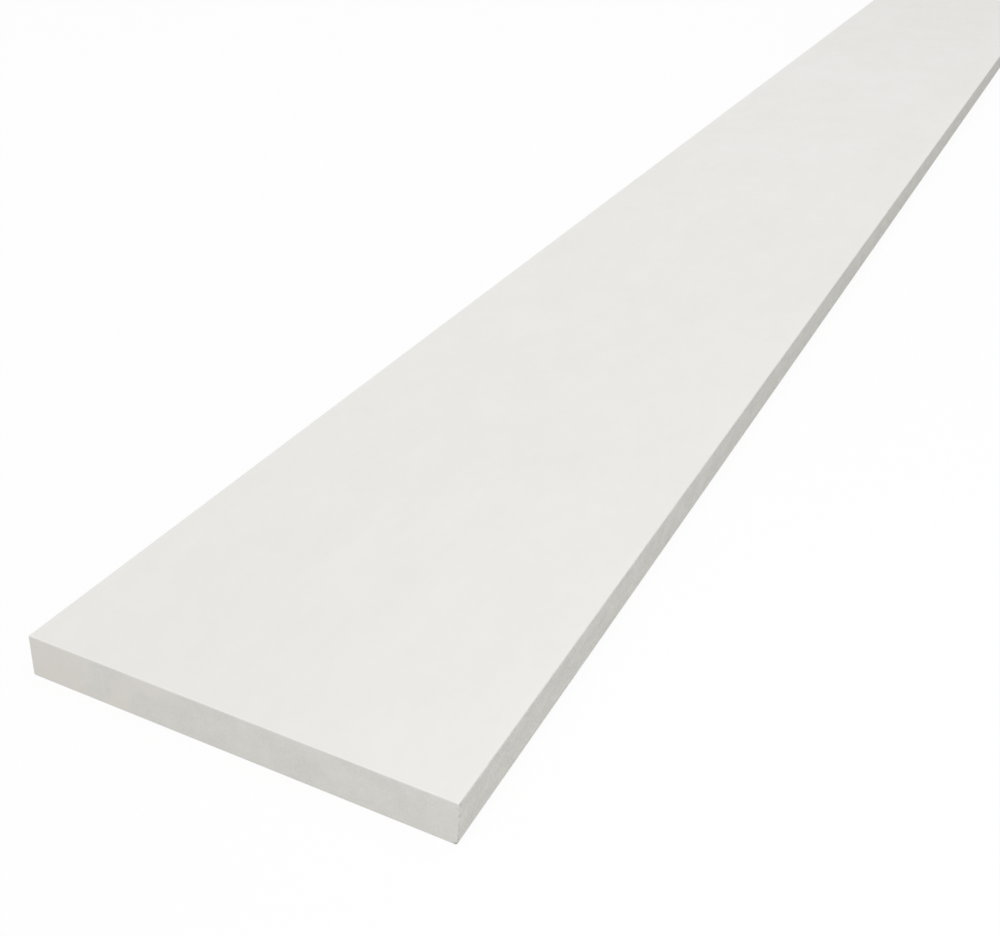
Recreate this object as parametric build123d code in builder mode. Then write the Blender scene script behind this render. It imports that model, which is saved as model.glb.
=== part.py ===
from build123d import *

import os

# A trim board: nominal 1 x 8, eight feet long, in solid white cellular PVC.
#
# One piece of stock lies flat with its show face up. Sheet is ripped to width, the long edges
# are milled square with their arrises eased, and both ends are cross-cut and lightly broken.
#
# Frame, in millimetres: +Y runs along the board, +X across it and +Z up through its thickness.
# The origin is at the middle of the back face, which is the face that goes against a wall.

INCH = 25.4
FOOT = 12 * INCH

# Dressed size of the stock
BOARD_WIDTH = 7.25 * INCH  # sold as a nominal 8 in
BOARD_THICKNESS = 0.75 * INCH  # sold as a nominal 1 in
BOARD_LENGTH = 8 * FOOT

# Arrises, each a quarter round that meets both of its faces without a step
SHOW_ARRIS_RADIUS = 1.0  # the two long arrises of the show face, eased for paint
BACK_ARRIS_RADIUS = 1.0  # the two long arrises of the back face
END_ARRIS_RADIUS = 0.6  # all round each cross-cut end, where the saw's burr is rubbed off

# The board is its section, run out both ways from the middle of its length
with BuildPart() as trim_board:
    with BuildSketch(Plane.XZ) as section:
        Rectangle(BOARD_WIDTH, BOARD_THICKNESS, align=(Align.CENTER, Align.MIN))
        fillet(section.vertices().group_by(Axis.Y)[0], BACK_ARRIS_RADIUS)
        fillet(section.vertices().group_by(Axis.Y)[-1], SHOW_ARRIS_RADIUS)
    extrude(amount=BOARD_LENGTH / 2, both=True)
    saw_cuts = trim_board.faces().filter_by(Axis.Y)
    fillet(saw_cuts.edges(), END_ARRIS_RADIUS)
trim_board.part.label = "trim_board"

os.makedirs("parts", exist_ok=True)
export_step(trim_board.part, "parts/trim_board.step")
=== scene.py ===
import math

import bpy
from mathutils import Euler, Matrix, Vector


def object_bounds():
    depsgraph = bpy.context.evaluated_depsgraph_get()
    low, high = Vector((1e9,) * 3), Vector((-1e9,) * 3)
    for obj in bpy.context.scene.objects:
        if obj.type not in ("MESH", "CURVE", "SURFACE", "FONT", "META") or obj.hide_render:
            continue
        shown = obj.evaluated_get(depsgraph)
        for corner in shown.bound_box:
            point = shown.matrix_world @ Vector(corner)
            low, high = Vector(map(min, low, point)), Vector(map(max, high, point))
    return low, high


# A trim board in white cellular PVC, lying on a pale floor. The board's shape is the packed
# model's own. This script gives it its finishes, and adds the floor, the light and the camera.

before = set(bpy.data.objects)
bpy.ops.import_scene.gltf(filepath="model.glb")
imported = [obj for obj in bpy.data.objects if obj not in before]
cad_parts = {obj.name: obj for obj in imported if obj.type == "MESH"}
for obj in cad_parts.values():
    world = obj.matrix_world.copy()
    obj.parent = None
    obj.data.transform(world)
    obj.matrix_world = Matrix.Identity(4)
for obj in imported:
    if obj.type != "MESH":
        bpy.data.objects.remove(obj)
cad_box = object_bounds()

BOARD = "trim_board"
MM = 0.001
HALF_WIDTH = cad_box[1][0] / MM
HALF_LENGTH = cad_box[1][1] / MM

# Colours, as sRGB hex values
SKIN_WARM = "#EEECE7"  # the dense skin of the two wide faces, a faintly warm white
SKIN_COOL = "#EEEDEB"  # the same with less warmth, in broad patches along the board
SKIN_SHADE = "#E9E8E4"  # the same where the skin cooled a little denser
MILLED_WHITE = "#ECEBE5"  # the foam where the cutter planed it
MILLED_SHADE = "#CFCDC8"  # cells that the cutter tore open
CHIP_SHADE = "#A6A49E"  # the shade inside a deep chip
SAWN_WHITE = "#EAE8E3"  # the foam where the saw went through it
SAWN_SHADE = "#DBDAD5"  # open cells, which hold a little shade
SAWN_WARM = "#E8E4DE"  # a faint warm cast where the blade rubbed and heated the foam
CORNER_SHADE_GREY = "#AEABA4"  # painted shade at the two lower corners of the right edge, where the rounded arrises turn under towards the floor
FLOOR_PALE = "#C9C9C8"
WHITE = "#FFFFFF"

# Sizes and depths are in millimetres. A span gives the two levels of a pattern between which
# one tone turns into the other.

# The calendered skin
PATCH_SIZE = 200  # broad patches, warmer and cooler
PATCH_SPAN = (0.4, 0.6)
CLOUD_SIZE = 45  # faint clouds, lighter and darker
CLOUD_SPAN = (0.26, 0.74)
SKIN_DRAWN_OUT = 2  # how many times longer both are along the board than across it
SKIN_START = (-1909, -371, 0)  # where the pattern starts, which puts a warm stretch nearest
SKIN_ROUGHNESS = (0.52, 0.6)
PEEL_SIZE = 1.6
PEEL_DEPTH = 0.012

# The milled edges
BITE_SIZE = 5  # patches where the cutter bit deeper
BITE_DRAWN_OUT = 2.2
BITE_SHARE = 0.31
SPECK_SIZE = 1.1  # cells that it tore open; real ones are finer, and wouldn't show
SPECK_SHARE = 0.6
MILLED_SPAN = (0.255, 0.655)
MILLED_ROUGHNESS = (0.66, 0.78)
MILLED_DEPTH = 0.03

# The chips at the edges' corners
CHIPS_START = 2.4  # from the end of the board
CHIPS_FULL = 0.8
CHIP_SPACING = 2.6
CHIP_SPAN = (0.34, 0.12)  # from a chip's rim to its bottom, as parts of the spacing
CHIP_DEPTH = 0.05

# The sawn ends
MOTTLE_SIZE = 9  # stretches of larger and smaller cells
MOTTLE_SHARE = 0.5
CELL_SIZE = 1.0  # the cells; real ones are finer, and wouldn't show
CELL_SHARE = 0.5
SAWN_SPAN = (0.3, 0.7)
SAWN_ROUGHNESS = (0.7, 0.8)
SAWN_DEPTH = 0.02
RUB_SIZE = 13  # warmer patches
RUB_START = -20  # across the board from its middle, towards where the blade went in
RUB_FULL = -70
RUB_LIFT = 0.28  # how much more of the pattern shows there
RUB_SPAN = (0.58, 0.72)
RUB_STRENGTH = 0.75

# The painted shade at the lower corners
CORNER_SHADE_SPAN = (2.5, 1.3)  # how far from the corner it starts, and where it is full
CORNER_SHADE_GRAIN = 0.8
CORNER_SHADE_RAGGED = 1.2  # how far its border wanders

# How squarely a spot faces along the board, or up or down, where the finish of the ends, or
# the skin, starts and is full
END_FACING = (0.6, 0.9)
SKIN_FACING = (0.5, 0.75)
PVC_IOR = 1.53


def linear(code):
    """An sRGB hex value as a linear colour with alpha."""
    parts = [int(code[i : i + 2], 16) / 255 for i in (1, 3, 5)]
    return [c / 12.92 if c <= 0.04045 else ((c + 0.055) / 1.055) ** 2.4 for c in parts] + [1.0]


def add(tree, kind, inputs, **settings):
    """Adds a shader node. A socket given as an input is linked to it, any other value is set."""
    made = tree.nodes.new("ShaderNode" + kind)
    for name, value in settings.items():
        setattr(made, name, value)
    for name, value in inputs.items():
        if isinstance(value, bpy.types.NodeSocket):
            tree.links.new(value, made.inputs[name])
        else:
            made.inputs[name].default_value = value
    return made


def new_material(name):
    """An empty material and its output node."""
    material = bpy.data.materials.new(name)
    material.use_nodes = True
    material.node_tree.nodes.clear()
    return material, material.node_tree.nodes.new("ShaderNodeOutputMaterial")


def calendered_skin(tree, place):
    """The wide faces: foam squeezed smooth between polished rolls while it was hot.

    It looks dense, even and matte. All it shows is faint clouds, drawn out along the board
    as it left the rolls, a breath lighter and darker or warmer and cooler, and under a low
    light a very fine orange peel.
    """
    drawn_out = add(
        tree,
        "Mapping",
        {"Vector": place, "Location": SKIN_START, "Scale": (1, 1 / SKIN_DRAWN_OUT, 1)},
    ).outputs["Vector"]
    patch = add(tree, "TexNoise", {"Vector": drawn_out, "Scale": 1 / PATCH_SIZE, "Detail": 2})
    start, full = PATCH_SPAN
    cool = add(
        tree,
        "MapRange",
        {"Value": patch.outputs["Fac"], "From Min": start, "From Max": full},
        clamp=True,
    )
    white = add(
        tree,
        "MixRGB",
        {"Fac": cool.outputs["Result"], "Color1": linear(SKIN_WARM), "Color2": linear(SKIN_COOL)},
    )
    cloud = add(
        tree,
        "TexNoise",
        {"Vector": drawn_out, "Scale": 1 / CLOUD_SIZE, "Detail": 4, "Roughness": 0.9},
    )
    start, full = CLOUD_SPAN
    denser = add(
        tree, "MapRange", {"Value": cloud.outputs["Fac"], "From Min": start, "From Max": full}
    ).outputs["Result"]
    colour = add(
        tree,
        "MixRGB",
        {"Fac": denser, "Color1": white.outputs["Color"], "Color2": linear(SKIN_SHADE)},
    )
    low, high = SKIN_ROUGHNESS
    matte = add(tree, "MapRange", {"Value": denser, "To Min": low, "To Max": high})
    peel = add(
        tree,
        "TexNoise",
        {"Vector": place, "Scale": 1 / PEEL_SIZE, "Detail": 2, "Roughness": 0.5},
    )
    height = add(tree, "Math", {0: peel.outputs["Fac"], 1: PEEL_DEPTH}, operation="MULTIPLY")
    return colour.outputs["Color"], matte.outputs["Result"], height.outputs["Value"]


def corner_chips(tree, place):
    """How deep the chips are, from 0 to 1.

    They lie close to either end, in the long edge where the blade came out of the board.
    """
    where = add(tree, "SeparateXYZ", {"Vector": place})
    from_middle = add(tree, "Math", {0: where.outputs["Y"]}, operation="ABSOLUTE")
    at_end = add(
        tree,
        "MapRange",
        {
            "Value": from_middle.outputs["Value"],
            "From Min": HALF_LENGTH - CHIPS_START,
            "From Max": HALF_LENGTH - CHIPS_FULL,
        },
        clamp=True,
    )
    came_out = add(tree, "Math", {0: where.outputs["X"], 1: 0}, operation="GREATER_THAN")
    flat = add(tree, "CombineXYZ", {"X": where.outputs["Y"], "Y": where.outputs["Z"]})
    cell = add(
        tree,
        "TexVoronoi",
        {"Vector": flat.outputs["Vector"], "Scale": 1 / CHIP_SPACING},
        voronoi_dimensions="2D",
    )
    rim, bottom = CHIP_SPAN
    chip = add(
        tree,
        "MapRange",
        {"Value": cell.outputs["Distance"], "From Min": rim, "From Max": bottom},
        clamp=True,
    ).outputs["Result"]
    uneven = add(tree, "SeparateColor", {"Color": cell.outputs["Color"]})
    for less in (at_end.outputs["Result"], came_out.outputs["Value"], uneven.outputs["Red"]):
        chip = add(tree, "Math", {0: chip, 1: less}, operation="MULTIPLY").outputs["Value"]
    return chip


def milled_edge(tree, place):
    """The long edges: foam planed by a rotary cutter as the board fed past it.

    It looks greyer and drier than the skin, clouded in short patches along the board where
    the cutter bit deeper, and finely specked where it tore cells open. At the corners where
    the saw broke out of the board there is a row of small chips of uneven depth.
    """
    drawn_out = add(tree, "Mapping", {"Vector": place, "Scale": (1, 1 / BITE_DRAWN_OUT, 1)})
    bite = add(
        tree,
        "TexNoise",
        {
            "Vector": drawn_out.outputs["Vector"],
            "Scale": 1 / BITE_SIZE,
            "Detail": 2,
            "Roughness": 0.5,
        },
    )
    speck = add(
        tree,
        "TexNoise",
        {"Vector": place, "Scale": 1 / SPECK_SIZE, "Detail": 2, "Roughness": 0.7},
    )
    wear = add(tree, "Math", {0: bite.outputs["Fac"], 1: BITE_SHARE}, operation="MULTIPLY")
    wear = add(
        tree,
        "Math",
        {0: speck.outputs["Fac"], 1: SPECK_SHARE, 2: wear.outputs["Value"]},
        operation="MULTIPLY_ADD",
    )
    start, full = MILLED_SPAN
    open_cells = add(
        tree,
        "MapRange",
        {"Value": wear.outputs["Value"], "From Min": start, "From Max": full},
        clamp=True,
    ).outputs["Result"]
    colour = add(
        tree,
        "MixRGB",
        {"Fac": open_cells, "Color1": linear(MILLED_WHITE), "Color2": linear(MILLED_SHADE)},
    )
    low, high = MILLED_ROUGHNESS
    matte = add(tree, "MapRange", {"Value": open_cells, "To Min": low, "To Max": high})
    height = add(tree, "Math", {0: open_cells, 1: -MILLED_DEPTH}, operation="MULTIPLY")

    chip = corner_chips(tree, place)
    colour = add(
        tree,
        "MixRGB",
        {"Fac": chip, "Color1": colour.outputs["Color"], "Color2": linear(CHIP_SHADE)},
    )
    height = add(
        tree,
        "Math",
        {0: chip, 1: -CHIP_DEPTH, 2: height.outputs["Value"]},
        operation="MULTIPLY_ADD",
    )
    return colour.outputs["Color"], matte.outputs["Result"], height.outputs["Value"]


def sawn_end(tree, place):
    """The cross-cut ends: foam sawn by a fine-toothed circular blade.

    It looks soft and chalky, faintly mottled where the cells are larger or smaller, with
    patches of a little more warmth towards the long edge where the blade went in and rubbed.
    """
    mottle = add(
        tree,
        "TexNoise",
        {"Vector": place, "Scale": 1 / MOTTLE_SIZE, "Detail": 2, "Roughness": 0.6},
    )
    cell = add(
        tree,
        "TexNoise",
        {"Vector": place, "Scale": 1 / CELL_SIZE, "Detail": 2, "Roughness": 0.7},
    )
    foam = add(tree, "Math", {0: mottle.outputs["Fac"], 1: MOTTLE_SHARE}, operation="MULTIPLY")
    foam = add(
        tree,
        "Math",
        {0: cell.outputs["Fac"], 1: CELL_SHARE, 2: foam.outputs["Value"]},
        operation="MULTIPLY_ADD",
    )
    start, full = SAWN_SPAN
    open_cells = add(
        tree,
        "MapRange",
        {"Value": foam.outputs["Value"], "From Min": start, "From Max": full},
        clamp=True,
    ).outputs["Result"]
    colour = add(
        tree,
        "MixRGB",
        {"Fac": open_cells, "Color1": linear(SAWN_WHITE), "Color2": linear(SAWN_SHADE)},
    )

    across = add(tree, "SeparateXYZ", {"Vector": place})
    went_in = add(
        tree,
        "MapRange",
        {
            "Value": across.outputs["X"],
            "From Min": RUB_START,
            "From Max": RUB_FULL,
            "To Max": RUB_LIFT,
        },
        clamp=True,
    )
    patch = add(tree, "TexNoise", {"Vector": place, "Scale": 1 / RUB_SIZE, "Detail": 1})
    rub = add(
        tree,
        "Math",
        {0: patch.outputs["Fac"], 1: went_in.outputs["Result"]},
        operation="ADD",
    )
    start, full = RUB_SPAN
    rub = add(
        tree,
        "MapRange",
        {
            "Value": rub.outputs["Value"],
            "From Min": start,
            "From Max": full,
            "To Max": RUB_STRENGTH,
        },
        clamp=True,
    )
    colour = add(
        tree,
        "MixRGB",
        {
            "Fac": rub.outputs["Result"],
            "Color1": colour.outputs["Color"],
            "Color2": linear(SAWN_WARM),
        },
    )
    low, high = SAWN_ROUGHNESS
    matte = add(tree, "MapRange", {"Value": open_cells, "To Min": low, "To Max": high})
    height = add(tree, "Math", {0: open_cells, 1: -SAWN_DEPTH}, operation="MULTIPLY")
    return colour.outputs["Color"], matte.outputs["Result"], height.outputs["Value"]


def painted_corner_shade(tree, place):
    """How far a spot is darkened by painted shade, which is only at the two lower corners of the
    right edge.

    It stands in for the shade in the crevice where their rounded arrises turn under towards the
    floor.
    """
    spot = add(tree, "SeparateXYZ", {"Vector": place})
    from_middle = add(tree, "Math", {0: spot.outputs["Y"]}, operation="ABSOLUTE")
    spot = add(
        tree,
        "CombineXYZ",
        {
            "X": spot.outputs["X"],
            "Y": from_middle.outputs["Value"],
            "Z": spot.outputs["Z"],
        },
    )
    away = add(
        tree,
        "VectorMath",
        {0: spot.outputs["Vector"], 1: (HALF_WIDTH, HALF_LENGTH, 0)},
        operation="DISTANCE",
    )
    grain = add(tree, "TexNoise", {"Vector": place, "Scale": 1 / CORNER_SHADE_GRAIN, "Detail": 2})
    away = add(
        tree,
        "Math",
        {0: grain.outputs["Fac"], 1: CORNER_SHADE_RAGGED, 2: away.outputs["Value"]},
        operation="MULTIPLY_ADD",
    )
    start, full = CORNER_SHADE_SPAN
    return add(
        tree,
        "MapRange",
        {"Value": away.outputs["Value"], "From Min": start, "From Max": full},
        clamp=True,
    ).outputs["Result"]


def cellular_pvc():
    """Closed-cell PVC foam, white right through, with the finish that each face was given."""
    material, output = new_material("cellular_pvc_calendered_milled_and_sawn")
    tree = material.node_tree
    where = add(tree, "TexCoord", {})
    place = add(
        tree, "VectorMath", {0: where.outputs["Object"], "Scale": 1 / MM}, operation="SCALE"
    ).outputs["Vector"]
    facing = add(tree, "VectorMath", {0: where.outputs["Normal"]}, operation="ABSOLUTE")
    facing = add(tree, "SeparateXYZ", {"Vector": facing.outputs["Vector"]})

    # The long edges come first, then the ends by how far they face along the board, then the
    # skin by how far it faces up or down.
    colour, matte, height = milled_edge(tree, place)
    for axis, span, finish in (
        ("Y", END_FACING, sawn_end),
        ("Z", SKIN_FACING, calendered_skin),
    ):
        share = add(
            tree,
            "MapRange",
            {"Value": facing.outputs[axis], "From Min": span[0], "From Max": span[1]},
            interpolation_type="SMOOTHSTEP",
        ).outputs["Result"]
        next_colour, next_matte, next_height = finish(tree, place)
        colour = add(
            tree, "MixRGB", {"Fac": share, "Color1": colour, "Color2": next_colour}
        ).outputs["Color"]
        matte = add(tree, "Mix", {"Factor": share, "A": matte, "B": next_matte}).outputs["Result"]
        height = add(
            tree, "Mix", {"Factor": share, "A": height, "B": next_height}
        ).outputs["Result"]

    # Painted shade darkens the two lower corners of the right edge
    corner_shade = painted_corner_shade(tree, place)
    colour = add(
        tree, "MixRGB", {"Fac": corner_shade, "Color1": colour, "Color2": linear(CORNER_SHADE_GREY)}
    ).outputs["Color"]
    relief = add(tree, "Bump", {"Height": height, "Distance": MM, "Strength": 1.0})
    surface = add(
        tree,
        "BsdfPrincipled",
        {
            "Base Color": colour,
            "Roughness": matte,
            "Normal": relief.outputs["Normal"],
            "IOR": PVC_IOR,
        },
    )
    tree.links.new(surface.outputs["BSDF"], output.inputs["Surface"])
    return material


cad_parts[BOARD].material_slots[0].material = cellular_pvc()

# Light. Each share is what that lamp adds to a level surface, where 1 in all shows a colour
# as it is written. Places and sizes from here on are in metres.
SKY_SHARE = 0.60
BACKDROP_SHOWN = 0.99  # just under white
SUN_SHARE = 0.244
SUN_TILT = (37.5, 0, 0)  # degrees about X, Y and Z, so that it comes from the near side
SUN_SPREAD = 50  # degrees across, which gives a soft shadow
LAMP_AIM = Vector((0.09, -1.1, 0))  # near the front right corner of the board
HIGH_SHARE = 0.095
HIGH_PLACE = Vector((0.2, -0.59, 1.34))
HIGH_SIDE = 0.8
LOW_SHARE = 0.078
LOW_PLACE = Vector((0.45, -1.26, 0.25))
LOW_SIDE = 0.4


def white_seen_by(tree):
    """1 for rays straight from the camera, or by way of a gloss or clear surface."""
    ray = add(tree, "LightPath", {})
    seen = ray.outputs["Is Camera Ray"]
    for way in ("Is Glossy Ray", "Is Transmission Ray"):
        seen = add(
            tree, "Math", {0: seen, 1: ray.outputs[way]}, operation="MAXIMUM"
        ).outputs["Value"]
    return seen


def light_world():
    """An even sky that shows as white."""
    world = bpy.data.worlds.new("studio")
    bpy.context.scene.world = world
    world.use_nodes = True
    tree = world.node_tree
    tree.nodes.clear()
    sky = add(tree, "Background", {"Color": linear(WHITE), "Strength": SKY_SHARE})
    backdrop = add(tree, "Background", {"Color": linear(WHITE), "Strength": BACKDROP_SHOWN})
    both = add(
        tree, "MixShader", {0: white_seen_by(tree), 1: sky.outputs[0], 2: backdrop.outputs[0]}
    )
    add(tree, "OutputWorld", {"Surface": both.outputs[0]})


def add_lamp(name, share, place, side):
    """A square lamp that adds its share to a level surface at the aim."""
    lamp = bpy.data.lights.new(name, "AREA")
    lamp.size = side
    reach = LAMP_AIM - place
    lamp.energy = share * math.pi ** 2 * reach.length_squared / -reach.normalized().z
    lamp_object = bpy.data.objects.new(name, lamp)
    lamp_object.location = place
    lamp_object.rotation_euler = reach.to_track_quat("-Z", "Y").to_euler()
    lamp_object.visible_camera = False
    bpy.context.scene.collection.objects.link(lamp_object)


def light_lamps():
    """A broad sun, a high lamp over the board and a low one beside its right edge."""
    sun = bpy.data.lights.new("sun", "SUN")
    sun.angle = math.radians(SUN_SPREAD)
    turn = Euler([math.radians(a) for a in SUN_TILT])
    down = turn.to_matrix() @ Vector((0, 0, -1))
    sun.energy = math.pi * SUN_SHARE / -down.z
    sun_object = bpy.data.objects.new("sun", sun)
    sun_object.rotation_euler = turn
    bpy.context.scene.collection.objects.link(sun_object)
    add_lamp("high", HIGH_SHARE, HIGH_PLACE, HIGH_SIDE)
    add_lamp("low", LOW_SHARE, LOW_PLACE, LOW_SIDE)


FLOOR_SIDE = 30
FLOOR_SHOWN = 0.12  # how much of the floor's own light and shade shows
FLOOR_GLOW = 0.878  # the rest, which is plain white


def make_floor():
    """A pale floor that shows as white with the board's faint shadow on it."""
    half = FLOOR_SIDE / 2
    mesh = bpy.data.meshes.new("floor")
    corners = [(-half, -half, 0), (half, -half, 0), (half, half, 0), (-half, half, 0)]
    mesh.from_pydata(corners, [], [(0, 1, 2, 3)])
    floor = bpy.data.objects.new("floor", mesh)
    bpy.context.scene.collection.objects.link(floor)
    material, output = new_material("floor")
    tree = material.node_tree
    pale = add(tree, "BsdfDiffuse", {"Color": linear(FLOOR_PALE)})
    faint = add(tree, "BsdfDiffuse", {"Color": [FLOOR_SHOWN] * 3 + [1]})
    glow = add(tree, "Emission", {"Color": linear(WHITE), "Strength": FLOOR_GLOW})
    shown = add(tree, "AddShader", {0: faint.outputs[0], 1: glow.outputs[0]})
    both = add(
        tree, "MixShader", {0: white_seen_by(tree), 1: pale.outputs[0], 2: shown.outputs[0]}
    )
    tree.links.new(both.outputs[0], output.inputs["Surface"])
    mesh.materials.append(material)


light_world()
light_lamps()
make_floor()

# Camera, where the photograph was taken from
CAMERA_PLACE = Vector((0.2314, -1.5168, 0.3411))
CAMERA_YAW = 23.934  # degrees left of the board's own direction
CAMERA_PITCH = 30.319  # degrees down
CAMERA_ROLL = 3.543  # degrees, right side up
LENS = 48.449  # millimetres, as the next
SENSOR = 36


def make_camera():
    data = bpy.data.cameras.new("camera")
    data.sensor_width = SENSOR
    data.lens = LENS
    camera = bpy.data.objects.new("camera", data)
    turn = (
        Matrix.Rotation(math.radians(CAMERA_YAW), 4, "Z")
        @ Matrix.Rotation(math.radians(90 - CAMERA_PITCH), 4, "X")
        @ Matrix.Rotation(math.radians(CAMERA_ROLL), 4, "Z")
    )
    camera.matrix_world = Matrix.Translation(CAMERA_PLACE) @ turn
    bpy.context.scene.collection.objects.link(camera)
    bpy.context.scene.camera = camera


make_camera()
bpy.context.scene.view_settings.view_transform = "Standard"
